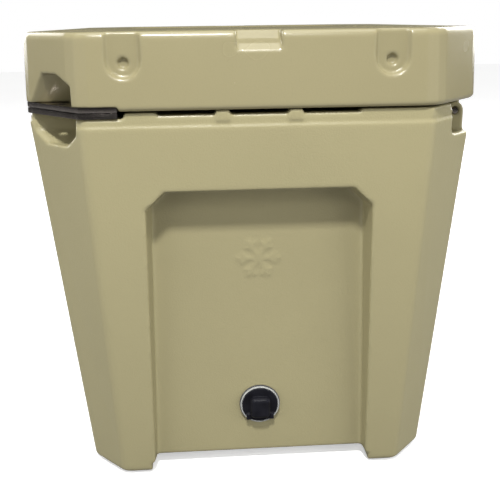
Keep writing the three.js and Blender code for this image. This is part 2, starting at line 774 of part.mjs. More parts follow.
// A rubber latch in the Y-Z plane: an eye on the pin, a strap, a hook nose and a wide pull.
function latch() {
  const { y, z, radius } = LATCH_PIN;
  const half = STRAP.halfWidth;
  const noseFront = KEEPER.front - LATCH.noseClear;
  const eye = alongX(bar(LATCH.eye, -half, half, 20).translate(y, z, 0));
  const strap = box([-half, STRAP.front, LATCH.strapLow], [half, STRAP.back, z]);
  const nose = box([2 - half, STRAP.back - 1, LATCH.noseLow], [half - 2, noseFront, KEEPER.low - 1]);
  const pull = alongX(prism(LATCH.pull, -LATCH.pullHalf, LATCH.pullHalf));
  const stem = box([-half, STRAP.front + 1, LATCH.stemLow], [half, STRAP.back - 1.5, LATCH.strapLow + 2]);
  const bore = alongX(bar(radius + GAP, -half - 1, half + 1, 16).translate(y, z, 0));
  return cut(join([eye, strap, nose, pull, stem]), [bore]);
}

// Drain pieces are turned about Z, with the panel's face at height 0 and the outside above it.
function drainHousing() {
  const inner = CAVITY_LOW.halfLength - 6 - PANEL_X;
  const back = DRAIN.flangeBack;
  const front = back + DRAIN.flange;
  return turned([
    [DRAIN.bore, inner],
    [DRAIN.tube, inner],
    [DRAIN.tube, back],
    [DRAIN.ring - 0.6, back],
    [DRAIN.ring, back + 0.7],
    [DRAIN.ring - 1, front],
    [DRAIN.seat, front],
    [DRAIN.seat, DRAIN.seatFloor],
    [DRAIN.bore, DRAIN.seatFloor],
  ]);
}

function drainWasher(outer, low, high) {
  const inner = DRAIN.tube + GAP;
  return turned([[inner, low], [outer, low], [outer, high], [inner, high]]);
}

// The nut tightens against the inside wall, whose height is wall.
function drainNut(wall) {
  const high = wall - NUT.clear;
  const points = arc(0, 0, NUT.radius, 0, 2 * Math.PI, 6).slice(0, 6);
  const bore = bar(DRAIN.tube + GAP, high - NUT.thick - 1, high + 1);
  return cut(solidFrom(prism(points, high - NUT.thick, high)), [bore]);
}

// The plug: a shaft with a wide cap, a raised grip across it, and two ears below.
function drainPlug() {
  const face = DRAIN.flangeBack + DRAIN.flange + GAP;
  const { cap, shaft, plugEnd } = DRAIN;
  const body = turned([
    [0, plugEnd],
    [shaft - 1, plugEnd],
    [shaft, plugEnd + 1],
    [shaft, face],
    [cap, face],
    [cap, face + 2.5],
    [cap - 1.5, face + 4],
    [0, face + 4],
  ], 32);
  const grip = loft([
    [face + 3, roundedOutline(GRIP.foot, 0, 3)],
    [face + GRIP.height, roundedOutline(GRIP.crest, 0, 3)],
  ]).translate(0, GRIP.offset, 0);
  const ears = [-1, 1].map((side) => box([-3, -5, face], [3, 0, face + 3.4])
    .translate(0, 2 - cap, 0)
    .rotateZ(side * 0.72));
  return join([body, grip, ...ears]);
}

function drainPlugRing() {
  const inner = DRAIN.shaft + GAP;
  const outer = DRAIN.seat - GAP;
  const low = DRAIN.seatFloor + GAP;
  const high = DRAIN.flangeBack + DRAIN.flange - 0.1;
  return turned([[inner, low], [outer, low], [outer, high], [inner, high]]);
}

function material(name) {
  return new THREE.MeshStandardMaterial(MATERIALS[name]);
}

function mesh(name, geometryOrSolid, materialName) {
  const geometry = geometryOrSolid.isBufferGeometry ? geometryOrSolid : geometryFrom(geometryOrSolid);
  const made = new THREE.Mesh(geometry, material(materialName));
  made.name = name;
  return made;
}

const cooler = new THREE.Group();
const tub = new THREE.Group();
const lid = new THREE.Group();
cooler.add(tub, lid);

tub.add(mesh("tub_shell", tubShell(), "tub"));
tub.add(mesh("tub_foam", tubFoam(), "foam"));
foamPorts(PORT_RADIUS, BASE, BASE + PLUG_THICK).forEach((geometry, i) => {
  tub.add(mesh(`tub_foam_plug_${i + 1}`, geometry, "tub"));
});
tub.add(mesh(
  "hinge_rod",
  alongX(bar(ROD_RADIUS, -ROD_REACH, ROD_REACH, 20).translate(HINGE_Y, HINGE_Z, 0)),
  "steel",
));

lid.add(mesh("lid_shell", lidShell(), "lid"));
lid.add(mesh("lid_foam", lidFoam(), "foam"));
lid.add(mesh(
  "lid_foam_plug",
  bar(PORT_RADIUS, LID_BOTTOM - LID_PLUG.drop, LID_BOTTOM - LID_PLUG.drop + PLUG_THICK),
  "lid",
));
lid.add(mesh("lid_gasket", sealRing(0, RIM + GAP, LID_BOTTOM + SEAL.groove - GAP), "seal"));

// Padlock plates.
const plates = [
  { group: tub, owner: "tub", z: TUB_PLATE_Z, sign: 1 },
  { group: lid, owner: "lid", z: LID_PLATE_Z, sign: -1 },
];
plates.forEach(({ group, owner, z, sign }) => {
  const plate = mesh(`${owner}_lock_plate_drain_end`, padlockPlate(z, sign), "plate");
  const farPlate = mesh(`${owner}_lock_plate_far_end`, plate.geometry.clone(), "plate");
  farPlate.scale.x = -1;
  group.add(plate, farPlate);
  const headFace = sign > 0 ? z + PLATE.thick : z;
  [1, -1].forEach((end) => PLATE_SCREWS.forEach(([x, y], i) => {
    const number = (end > 0 ? 1 : 3) + i;
    const screw = mesh(`${owner}_plate_screw_${number}`, countersunkScrew(), "steel");
    screw.position.set(end * x, y, headFace);
    screw.rotation.x = sign > 0 ? 0 : Math.PI;
    group.add(screw);
  }));
});

// Latches, one to each side of the middle, seen from the front.
LATCH_X.forEach((x, i) => {
  const side = ["left", "right"][i];
  const rubber = mesh(`latch_${side}`, latch(), "rubber");
  rubber.position.x = x;
  const pin = mesh(
    `latch_pin_${side}`,
    alongX(bar(LATCH_PIN.radius, -LATCH_PIN.length / 2, LATCH_PIN.length / 2, 16)
      .translate(LATCH_PIN.y, LATCH_PIN.z, 0)),
    "steel",
  );
  pin.position.x = x;
  lid.add(rubber, pin);
});

// Feet: a rubber pad in a pocket under each corner, held by a screw from below.
footPlaces().forEach(([x, y], i) => {
  const pad = cut(solidFrom(footPadBlock(0, 0, FOOT_PAD.height)), [
    bar(SCREW.head + GAP, -1, FOOT_PAD.sink + SCREW.headHeight, 16),
    bar(SCREW.shank + GAP, -1, FOOT_PAD.height + 1, 12),
  ]);
  const rubber = mesh(`foot_pad_${i + 1}`, pad, "rubber");
  rubber.position.set(x, y, 0);
  const screw = mesh(`foot_screw_${i + 1}`, countersunkScrew(), "steel");
  screw.position.set(x, y, FOOT_PAD.sink - GAP);
  screw.rotation.x = Math.PI;
  tub.add(rubber, screw);
});

// Drain, standing out of the end panel along +X.
const drain = new THREE.Group();
const insideWall = CAVITY_LOW.halfLength - PANEL_X;
drain.position.set(PANEL_X, 0, DRAIN_HEIGHT);
drain.rotation.set(Math.PI / 2, Math.PI / 2, 0);
drain.add(
  mesh("drain_housing", drainHousing(), "ring"),
  mesh("drain_outer_washer", drainWasher(DRAIN.ring - 0.3, GAP, 1), "seal"),
  mesh("drain_inner_washer", drainWasher(NUT.radius - 0.6, insideWall - 1.2, insideWall - GAP), "seal"),
  mesh("drain_nut", drainNut(insideWall + 0.6), "plug"),
  mesh("drain_plug", drainPlug(), "plug"),
  mesh("drain_plug_ring", drainPlugRing(), "seal"),
);
tub.add(drain);

export default cooler;
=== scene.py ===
"""Cooler chest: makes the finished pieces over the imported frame, then the stage.

Every piece starts from a primitive or from a merged copy of its frame node, is shaped and rounded, and
rides on the body it belongs to. Metres. X runs along the chest with the drain at +X, the latches are at -Y
and the hinge is at +Y.
"""

import json
import math

import bpy
from mathutils import Matrix, Vector

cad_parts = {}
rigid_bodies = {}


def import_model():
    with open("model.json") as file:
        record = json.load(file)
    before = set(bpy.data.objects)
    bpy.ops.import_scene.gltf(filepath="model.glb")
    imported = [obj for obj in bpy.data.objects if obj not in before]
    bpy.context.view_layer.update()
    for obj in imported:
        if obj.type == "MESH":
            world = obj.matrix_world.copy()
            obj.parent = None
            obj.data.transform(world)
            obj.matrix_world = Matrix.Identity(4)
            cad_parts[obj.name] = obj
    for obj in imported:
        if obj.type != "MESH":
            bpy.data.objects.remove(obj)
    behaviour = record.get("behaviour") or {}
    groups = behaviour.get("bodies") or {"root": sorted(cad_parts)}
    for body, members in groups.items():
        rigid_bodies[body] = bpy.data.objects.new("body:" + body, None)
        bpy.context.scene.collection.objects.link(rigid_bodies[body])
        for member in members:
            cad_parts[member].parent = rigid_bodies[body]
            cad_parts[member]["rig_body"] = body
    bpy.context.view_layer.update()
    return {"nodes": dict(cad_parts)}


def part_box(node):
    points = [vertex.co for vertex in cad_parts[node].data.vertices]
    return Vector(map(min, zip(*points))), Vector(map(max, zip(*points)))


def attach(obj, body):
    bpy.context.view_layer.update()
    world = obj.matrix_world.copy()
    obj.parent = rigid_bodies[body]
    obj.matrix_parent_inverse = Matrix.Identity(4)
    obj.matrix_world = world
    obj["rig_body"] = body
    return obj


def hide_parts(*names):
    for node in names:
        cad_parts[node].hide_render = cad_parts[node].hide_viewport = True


bl_info = {
    "name": "Cooler Chest",
    "version": (1, 0, 0),
    "blender": (4, 5, 0),
    "location": "View3D > Sidebar > Cooler",
    "description": "Builds a rotationally moulded cooler chest from its packed frame",
    "category": "Add Mesh",
}

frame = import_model()
MM = 0.001
SCREW_NODES = sorted(node for node in frame["nodes"] if "screw" in node)

# Most triangles that a rounded piece keeps.
TUB_TRIANGLES = 190000
LID_TRIANGLES = 170000
SMALL_TRIANGLES = 60000

# The lid's cells are this share of the tub's, because its edges are crisper.
LID_GRAIN_SHARE = 0.85

# Two small ears low on the drain plug's cap.
EAR_OFFSET = 10.6 * MM
EAR_HALF_WIDTH = 2.4 * MM
EAR_LOW = 14.2 * MM
EAR_HIGH = 8.5 * MM
EAR_RISE = 2.4 * MM

# Lamps: place, target, size and power. Side and back lamps stand at both sides, at -Y and at +Y.
KEY = {"where": (1.0, -0.1, 1.36), "target": (0.24, 0.0, 0.22), "size": (0.13, 0.13), "power": 23.0}
FILL = {"where": (1.45, 0.1, 1.1), "target": (0.24, 0.0, 0.2), "size": (0.3, 0.3), "power": 2.7}
SIDE_POWER = {-1: 30.0, 1: 41.0}
BACK_POWER = 26.0
OVERHEAD_STRENGTH = 1.5
SURROUNDINGS_STRENGTH = 0.06


def place(node):
    """Centre of a frame node's box."""
    low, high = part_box(node)
    return (low + high) / 2


def owner(node):
    """Body that a frame node rides on."""
    return frame["nodes"][node]["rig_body"]


# Sizes and colours


class ShellSettings(bpy.types.PropertyGroup):
    """Tub and lid shells."""

    grain: bpy.props.FloatProperty(
        name="Voxel",
        description="Edge length of the cells that the shells are rounded with",
        default=0.0014,
        min=0.0008,
        max=0.005,
        unit="LENGTH",
    )
    tub_rounding: bpy.props.IntProperty(
        name="Tub Rounding",
        description="Rounds of smoothing on the tub's edges",
        default=7,
        min=1,
        max=60,
    )
    lid_rounding: bpy.props.IntProperty(
        name="Lid Rounding",
        description="Rounds of smoothing on the lid's edges",
        default=5,
        min=1,
        max=60,
    )
    tub_colour: bpy.props.FloatVectorProperty(
        name="Tub Colour",
        description="Moulded colour of the tub",
        subtype="COLOR",
        size=4,
        min=0.0,
        max=1.0,
        default=(0.30, 0.268, 0.148, 1.0),
    )
    lid_colour: bpy.props.FloatVectorProperty(
        name="Lid Colour",
        description="Moulded colour of the lid",
        subtype="COLOR",
        size=4,
        min=0.0,
        max=1.0,
        default=(0.26, 0.231, 0.130, 1.0),
    )


class HardwareSettings(bpy.types.PropertyGroup):
    """Metal and rubber pieces."""

    plate_edge: bpy.props.FloatProperty(
        name="Plate Edge",
        description="Rounding along a padlock plate's edges",
        default=0.0006,
        min=0.0001,
        max=0.001,
        unit="LENGTH",
    )
    metal_colour: bpy.props.FloatVectorProperty(
        name="Metal Colour",
        description="Colour of the plates, screws and rod",
        subtype="COLOR",
        size=4,
        min=0.0,
        max=1.0,
        default=(0.27, 0.24, 0.22, 1.0),
    )
    rubber_colour: bpy.props.FloatVectorProperty(
        name="Rubber Colour",
        description="Colour of the latches, feet and seals",
        subtype="COLOR",
        size=4,
        min=0.0,
        max=1.0,
        default=(0.018, 0.018, 0.019, 1.0),
    )
    plug_colour: bpy.props.FloatVectorProperty(
        name="Plug Colour",
        description="Colour of the drain plug",
        subtype="COLOR",
        size=4,
        min=0.0,
        max=1.0,
        default=(0.006, 0.006, 0.008, 1.0),
    )


class DrainSettings(bpy.types.PropertyGroup):
    """Drain flange and plug."""

    flange_thickness: bpy.props.FloatProperty(
        name="Flange Thickness",
        description="Thickness of the flange on the end panel",
        default=0.0025,
        unit="LENGTH",
    )
    tube_radius: bpy.props.FloatProperty(
        name="Tube Radius",
        description="Outside radius of the tube through the wall",
        default=0.0125,
        unit="LENGTH",
    )
    bore_radius: bpy.props.FloatProperty(
        name="Bore Radius",
        description="Inside radius of the tube",
        default=0.0096,
        unit="LENGTH",
    )
    ring_width: bpy.props.FloatProperty(
        name="Ring Width",
        description="Width of the flange's rim around the plug's cap",
        default=0.001,
        unit="LENGTH",
    )
    seat_depth: bpy.props.FloatProperty(
        name="Seat Depth",
        description="Depth of the seat that the plug's cap sits in",
        default=0.0013,
        unit="LENGTH",
    )
    washer_lip: bpy.props.FloatProperty(
        name="Washer Lip",
        description="How far the outer washer shows around the flange",
        default=0.0008,
        unit="LENGTH",
    )
    cap_radius: bpy.props.FloatProperty(
        name="Cap Radius",
        description="Radius of the plug's cap",
        default=0.0168,
        unit="LENGTH",
    )
    cap_rise: bpy.props.FloatProperty(
        name="Cap Rise",
        description="How far the cap stands out of the flange",
        default=0.0002,
        unit="LENGTH",
    )
    shaft_radius: bpy.props.FloatProperty(
        name="Shaft Radius",
        description="Radius of the plug's shaft",
        default=0.0086,
        unit="LENGTH",
    )
    grip_width: bpy.props.FloatProperty(
        name="Grip Width",
        description="Width of the grip across the cap",
        default=0.0188,
        unit="LENGTH",
    )
    grip_height: bpy.props.FloatProperty(
        name="Grip Height",
        description="Height of the grip up the cap",
        default=0.0205,
        unit="LENGTH",
    )
    grip_reach: bpy.props.FloatProperty(
        name="Grip Reach",
        description="How far the grip stands out",
        default=0.0078,
        unit="LENGTH",
    )
    grip_drop: bpy.props.FloatProperty(
        name="Grip Drop",
        description="How far the grip's middle is below the cap's",
        default=0.001,
        unit="LENGTH",
    )


class StageSettings(bpy.types.PropertyGroup):
    """Camera and lights."""

    camera_place: bpy.props.FloatVectorProperty(
        name="Camera Place",
        description="Where the camera stands",
        subtype="TRANSLATION",
        size=3,
        default=(0.8619, -0.0499, 0.4091),
        unit="LENGTH",
    )
    yaw: bpy.props.FloatProperty(
        name="Yaw",
        description="Turn of the camera towards the hinge side",
        subtype="ANGLE",
        default=math.radians(3.83),
    )
    pitch: bpy.props.FloatProperty(
        name="Pitch",
        description="Downward tilt of the camera",
        subtype="ANGLE",
        default=math.radians(17.04),
    )
    roll: bpy.props.FloatProperty(
        name="Roll",
        description="Turn of the camera about its own line of sight",
        subtype="ANGLE",
        default=math.radians(-0.74),
    )
    lens: bpy.props.FloatProperty(
        name="Lens",
        description="Focal length for a 36 mm wide sensor",
        subtype="DISTANCE_CAMERA",
        default=54.0,
    )
    floor_size: bpy.props.FloatProperty(
        name="Floor Size",
        description="Side of the floor",
        default=12.0,
        unit="LENGTH",
    )


# Selecting and shaping


def deselect():
    bpy.ops.object.select_all(action="DESELECT")


def pick(piece):
    deselect()
    piece.select_set(True)
    bpy.context.view_layer.objects.active = piece


def apply_modifier(piece, kind, **values):
    """Adds a modifier, sets its values and applies it."""
    pick(piece)
    modifier = piece.modifiers.new(kind.title(), kind)
    for key, value in values.items():
        setattr(modifier, key, value)
    bpy.ops.object.modifier_apply(modifier=modifier.name)


def merged_copy(name, *nodes):
    """One new piece with the shapes of some frame nodes, their loose corners merged."""
    deselect()
    copies = []
    for node in nodes:
        copy = frame["nodes"][node].copy()
        copy.data = copy.data.copy()
        copy.parent = None
        for key in list(copy.keys()):
            del copy[key]
        bpy.context.collection.objects.link(copy)
        copies.append(copy)
    for copy in copies:
        copy.select_set(True)
    bpy.context.view_layer.objects.active = copies[0]
    if len(copies) > 1:
        bpy.ops.object.join()
    piece = bpy.context.view_layer.objects.active
    piece.name = name
    piece.data.name = name
    piece.data.materials.clear()
    bpy.ops.object.mode_set(mode="EDIT")
    bpy.ops.mesh.select_all(action="SELECT")
    bpy.ops.mesh.remove_doubles(threshold=1e-6)
    bpy.ops.object.mode_set(mode="OBJECT")
    return piece


def round_off(piece, cell, rounds, most_triangles):
    """Rounds every edge of a solid as moulding does, and thins the mesh on the flats."""
    apply_modifier(piece, "REMESH", mode="VOXEL", voxel_size=cell, use_smooth_shade=True)
    apply_modifier(piece, "SMOOTH", factor=0.5, iterations=rounds)
    triangles = sum(len(face.vertices) - 2 for face in piece.data.polygons)
    if triangles > most_triangles:
        apply_modifier(piece, "DECIMATE", ratio=most_triangles / triangles)
    pick(piece)
    bpy.ops.object.shade_smooth()
    apply_modifier(piece, "WEIGHTED_NORMAL", mode="FACE_AREA", weight=80)


def bevel_edges(piece, width, segments=2, sharper_than=30):
    """Bevels a piece's sharp edges and shades it smooth up to them."""
    pick(piece)
    bpy.ops.object.mode_set(mode="EDIT")
    bpy.ops.mesh.select_all(action="SELECT")
    bpy.ops.mesh.dissolve_limited(angle_limit=math.radians(1))
    bpy.ops.object.mode_set(mode="OBJECT")
    apply_modifier(
        piece,
        "BEVEL",
        width=width,
        segments=segments,
        limit_method="ANGLE",
        angle_limit=math.radians(sharper_than),
        use_clamp_overlap=True,
    )
    pick(piece)
    bpy.ops.object.shade_smooth_by_angle(angle=math.radians(35))


def add_cylinder(name, radius, low, high, axis="Z", sides=32):
    """A round bar between two points that differ along one axis."""
    deselect()
    turn = {"X": (0, math.pi / 2, 0), "Y": (math.pi / 2, 0, 0), "Z": (0, 0, 0)}[axis]
    bpy.ops.mesh.primitive_cylinder_add(
        vertices=sides,
        radius=radius,
        depth=(Vector(high) - Vector(low)).length,
        location=(Vector(low) + Vector(high)) / 2,
        rotation=turn,
    )
    piece = bpy.context.object
    piece.name = name
    piece.data.name = name
    settle(piece)
    return piece


def add_box(name, low, high):
    deselect()
    size = Vector(high) - Vector(low)
    bpy.ops.mesh.primitive_cube_add(size=1, location=(Vector(low) + Vector(high)) / 2, scale=size)
    piece = bpy.context.object
    piece.name = name
    piece.data.name = name
    settle(piece)
    return piece


def settle(piece):
    """Moves a piece's place, turn and scale into its mesh."""
    pick(piece)
    bpy.ops.object.transform_apply(location=True, rotation=True, scale=True)


def combine(piece, tool, operation):
    """Joins or cuts a piece with a tool, which is then deleted."""
    apply_modifier(piece, "BOOLEAN", object=tool, operation=operation, solver="EXACT")
    bpy.data.objects.remove(tool)


def copy_to(piece, name, matrix):
    """A copy with its own mesh, moved by matrix."""
    copy = piece.copy()
    copy.data = piece.data.copy()
    copy.name = name
    copy.data.name = name
    bpy.context.collection.objects.link(copy)
    copy.data.transform(matrix)
    return copy


def finish_piece(piece, material, body, slot, *nodes):
    """Gives a finished piece its material and its body, and hides the frame nodes that it stands for."""
    piece.data.materials.clear()
    piece.data.materials.append(material)
    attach(piece, body)
    if nodes:
        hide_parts(*nodes)


# Materials


class Surface:
    """A material being made: small helpers over its node tree, all on Object coordinates."""

    def __init__(self, name):
        self.material = bpy.data.materials.new(name)
        self.material.use_nodes = True
        self.tree = self.material.node_tree
        self.shader = self.tree.nodes["Principled BSDF"]
        self.place = self.add("ShaderNodeTexCoord").outputs["Object"]
        self.normal = None

    def add(self, kind, **values):
        node = self.tree.nodes.new(kind)
        for key, value in values.items():
            setattr(node, key, value)
        return node

    def link(self, source, target):
        self.tree.links.new(source, target)

    def noise(self, scale, detail=3.0, roughness=0.5, stretch=(1, 1, 1)):
        """Noise with scale cells a metre, stretched along the axes."""
        mapping = self.add("ShaderNodeMapping")
        mapping.inputs["Scale"].default_value = stretch
        self.link(self.place, mapping.inputs["Vector"])
        node = self.add("ShaderNodeTexNoise")
        node.inputs["Scale"].default_value = scale
        node.inputs["Detail"].default_value = detail
        node.inputs["Roughness"].default_value = roughness
        self.link(mapping.outputs["Vector"], node.inputs["Vector"])
        return node.outputs["Fac"]

    def pebbles(self, scale):
        """Rounded cells, scale a metre, for a moulded grain."""
        node = self.add("ShaderNodeTexVoronoi", feature="SMOOTH_F1")
        node.inputs["Scale"].default_value = scale
        node.inputs["Smoothness"].default_value = 0.6
        self.link(self.place, node.inputs["Vector"])
        return node.outputs["Distance"]

    def remap(self, source, low, high, start=0.3, end=0.7):
        """Maps start..end of a source to low..high."""
        node = self.add("ShaderNodeMapRange")
        node.inputs["From Min"].default_value = start
        node.inputs["From Max"].default_value = end
        node.inputs["To Min"].default_value = low
        node.inputs["To Max"].default_value = high
        self.link(source, node.inputs["Value"])
        return node.outputs["Result"]

    def blend(self, first, second, share):
        """Mixes two colours, each a value or a socket, by a share socket."""
        node = self.add("ShaderNodeMix", data_type="RGBA")
        colours = [socket for socket in node.inputs if socket.type == "RGBA"]
        for value, socket in zip((first, second), colours):
            if hasattr(value, "is_linked"):
                self.link(value, socket)
            else:
                socket.default_value = value
        values = [socket for socket in node.inputs if socket.type == "VALUE"]
        factor = next(socket for socket in values if socket.name == "Factor")
        self.link(share, factor)
        return next(socket for socket in node.outputs if socket.type == "RGBA")

    def bump(self, height, distance, strength=1.0):
        """Adds one layer of relief, distance deep in metres."""
        node = self.add("ShaderNodeBump")
        node.inputs["Distance"].default_value = distance
        node.inputs["Strength"].default_value = strength
        self.link(height, node.inputs["Height"])
        if self.normal is not None:
            self.link(self.normal, node.inputs["Normal"])
        self.normal = node.outputs["Normal"]
        self.link(self.normal, self.shader.inputs["Normal"])

    def edges(self, low=0.5, high=0.56):
        """Rises from 0 to 1 along a piece's outer edges."""
        geometry = self.add("ShaderNodeNewGeometry")
        return self.remap(geometry.outputs["Pointiness"], 0.0, 1.0, low, high)


def shade(colour, factor):
    return tuple(min(1.0, part * factor) for part in colour[:3]) + (1.0,)


def moulded_plastic(name, colour, roughness, grain):
    """Rotationally moulded polyethylene: faint clouds and specks in the colour, a painted highlight
    lighter along the edges, and a fine grain.
    """
    surface = Surface(name)
    clouds = surface.noise(7.0, 4.0)
    specks = surface.noise(900.0, 2.0)
    shading = surface.remap(clouds, 0.0, 1.0, 0.1, 0.9)
    tone = surface.blend(shade(colour, 0.94), shade(colour, 1.06), shading)
    tone = surface.blend(tone, shade(colour, 0.9), surface.remap(specks, 0.0, 0.35, 0.55, 0.75))
    # Painted highlight: the colour is lighter along the outer edges, standing in for lamps catching the
    # rounded edges.
    painted_edge_highlight = surface.remap(surface.edges(0.55, 0.68), 0.0, 0.3, 0.0, 1.0)
    tone = surface.blend(tone, shade(colour, 1.25), painted_edge_highlight)
    surface.link(tone, surface.shader.inputs["Base Color"])
    patches = surface.noise(22.0, 1.0)
    gloss = surface.remap(patches, roughness - 0.04, roughness + 0.05, 0.0, 1.0)
    surface.link(gloss, surface.shader.inputs["Roughness"])
    surface.bump(surface.noise(14.0, 2.0), 0.0012, 0.2)
    surface.bump(surface.pebbles(720.0), grain, 1.0)
    return surface.material


def brushed_metal(name, colour, along):
    """Brushed stainless steel, its strokes running along an axis."""
    surface = Surface(name)
    stretch = [1.0, 1.0, 1.0]
    stretch["XYZ".index(along)] = 0.03
    strokes = surface.noise(2600.0, 3.0, 0.6, stretch)
    stains = surface.noise(40.0, 4.0)
    tone = surface.blend(shade(colour, 0.86), shade(colour, 1.12), surface.remap(strokes, 0.0, 1.0))
    tone = surface.blend(tone, shade(colour, 0.72), surface.remap(stains, 0.0, 0.5, 0.52, 0.75))
    surface.link(tone, surface.shader.inputs["Base Color"])
    surface.link(surface.remap(strokes, 0.14, 0.3), surface.shader.inputs["Roughness"])
    surface.shader.inputs["Metallic"].default_value = 1.0
    surface.bump(strokes, 0.00003, 0.6)
    return surface.material


def black_rubber(name, colour):
    """Matte rubber with dust in its colour, and a painted highlight along its edges."""
    surface = Surface(name)
    dust = surface.noise(60.0, 5.0)
    tone = surface.blend(colour, shade(colour, 2.4), surface.remap(dust, 0.0, 0.6))
    # Painted highlight: lighter colour along the edges, where light catches them.
    tone = surface.blend(tone, shade(colour, 4.0), surface.remap(surface.edges(), 0.0, 0.5, 0.0, 1.0))
    surface.link(tone, surface.shader.inputs["Base Color"])
    surface.link(surface.remap(dust, 0.5, 0.72), surface.shader.inputs["Roughness"])
    surface.bump(surface.noise(1400.0, 3.0), 0.00006, 0.7)
    return surface.material


def plug_plastic(name, colour, roughness):
    """Injection-moulded black nylon, with a painted highlight along its edges."""
    surface = Surface(name)
    flow = surface.noise(90.0, 3.0)
    tone = surface.blend(colour, shade(colour, 1.9), surface.remap(flow, 0.0, 1.0))
    # Painted highlight: lighter colour along the edges, where light catches them.
    tone = surface.blend(tone, shade(colour, 5.0), surface.remap(surface.edges(), 0.0, 0.5, 0.0, 1.0))
    surface.link(tone, surface.shader.inputs["Base Color"])
    gloss = surface.remap(flow, roughness - 0.05, roughness + 0.08)
    surface.link(gloss, surface.shader.inputs["Roughness"])
    surface.shader.inputs["Specular IOR Level"].default_value = 0.09
    surface.bump(surface.noise(2200.0, 2.0), 0.00002, 0.5)
    return surface.material


def pale_plastic(name, colour):
    """Glossy pale nylon of the drain's flange."""
    surface = Surface(name)
    flow = surface.noise(120.0, 3.0)
    tone = surface.blend(shade(colour, 0.9), shade(colour, 1.05), surface.remap(flow, 0.0, 1.0))
    surface.link(tone, surface.shader.inputs["Base Color"])
    surface.link(surface.remap(flow, 0.16, 0.3), surface.shader.inputs["Roughness"])
    surface.bump(surface.noise(1500.0, 2.0), 0.00002, 0.4)
    return surface.material


def foam_core(name, colour):
    """Rigid insulating foam: fine cells under a skin."""
    surface = Surface(name)
    cells = surface.pebbles(900.0)
    tone = surface.blend(shade(colour, 0.8), colour, surface.remap(cells, 0.0, 1.0, 0.0, 0.5))
    surface.link(tone, surface.shader.inputs["Base Color"])
    surface.shader.inputs["Roughness"].default_value = 0.9
    surface.bump(cells, 0.0004, 0.8)
    return surface.material


def pale_floor(name):
    """Plain pale studio floor, which throws little light back up at the object."""
    surface = Surface(name)
    dust = surface.noise(3.0, 4.0)
    shading = surface.remap(dust, 0.0, 1.0)
    tone = surface.blend((0.86, 0.86, 0.855, 1.0), (0.9, 0.9, 0.895, 1.0), shading)
    surface.link(tone, surface.shader.inputs["Base Color"])
    surface.shader.inputs["Roughness"].default_value = 0.6
    surface.shader.inputs["Emission Color"].default_value = (1.0, 1.0, 1.0, 1.0)
    surface.shader.inputs["Emission Strength"].default_value = 0.5
    absorbing = surface.add("ShaderNodeBsdfDiffuse")
    absorbing.inputs["Color"].default_value = (0.2, 0.2, 0.2, 1.0)
    path = surface.add("ShaderNodeLightPath")
    mix = surface.add("ShaderNodeMixShader")
    surface.link(path.outputs["Is Camera Ray"], mix.inputs["Fac"])
    surface.link(absorbing.outputs["BSDF"], mix.inputs[1])
    surface.link(surface.shader.outputs["BSDF"], mix.inputs[2])
    surface.link(mix.outputs["Shader"], surface.tree.nodes["Material Output"].inputs["Surface"])
    return surface.material


MATERIALS = {}


def make_materials(context):
    shell = context.scene.cooler_shell
    hardware = context.scene.cooler_hardware
    MATERIALS["tub"] = moulded_plastic("tub_plastic", tuple(shell.tub_colour), 0.36, 0.0001)
    MATERIALS["lid"] = moulded_plastic("lid_plastic", tuple(shell.lid_colour), 0.25, 0.00003)
    metal = tuple(hardware.metal_colour)
    MATERIALS["plate"] = brushed_metal("brushed_plate", metal, "Y")
    MATERIALS["rod"] = brushed_metal("drawn_rod", metal, "X")
    MATERIALS["screw"] = brushed_metal("screw_steel", shade(metal, 0.9), "Z")
    MATERIALS["rubber"] = black_rubber("black_rubber", tuple(hardware.rubber_colour))
    MATERIALS["seal"] = black_rubber("seal_rubber", shade(tuple(hardware.rubber_colour), 1.6))
    MATERIALS["plug"] = plug_plastic("plug_nylon", tuple(hardware.plug_colour), 0.42)
    MATERIALS["ring"] = pale_plastic("ring_nylon", (0.4, 0.405, 0.39, 1.0))
    MATERIALS["foam"] = foam_core("foam", (0.78, 0.68, 0.4, 1.0))


# Pieces


def dress_foam(node):
    """Gives a foam node, which stays as it is, its material."""
    materials = frame["nodes"][node].data.materials
    materials.clear()
    materials.append(MATERIALS["foam"])


def round_bar(name, node, sides, edge, steps):
    """A round bar along X that fills a frame node's box, with rounded ends."""
    low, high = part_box(node)
    centre = place(node)
    radius = (high.y - low.y) / 2
    bar = add_cylinder(
        name,
        radius,
        (low.x, centre.y, centre.z),
        (high.x, centre.y, centre.z),
        axis="X",
        sides=sides,
    )
    bevel_edges(bar, edge, steps)
    return bar


class COOLER_OT_tub(bpy.types.Operator):
    """Rounded one-piece tub, and the foam inside it"""

    bl_idname = "cooler.tub"
    bl_label = "Tub"

    def execute(self, context):
        shell = context.scene.cooler_shell
        tub = merged_copy("tub_body", "tub_shell", "tub_foam")
        round_off(tub, shell.grain, shell.tub_rounding, TUB_TRIANGLES)
        finish_piece(tub, MATERIALS["tub"], "tub", "tub_plastic", "tub_shell")
        dress_foam("tub_foam")
        return {"FINISHED"}


class COOLER_OT_lid(bpy.types.Operator):
    """Rounded one-piece lid, and the foam inside it"""

    bl_idname = "cooler.lid"
    bl_label = "Lid"

    def execute(self, context):
        shell = context.scene.cooler_shell
        lid = merged_copy("lid_body", "lid_shell", "lid_foam")
        round_off(lid, shell.grain * LID_GRAIN_SHARE, shell.lid_rounding, LID_TRIANGLES)
        finish_piece(lid, MATERIALS["lid"], "lid", "lid_plastic", "lid_shell")
        dress_foam("lid_foam")
        return {"FINISHED"}


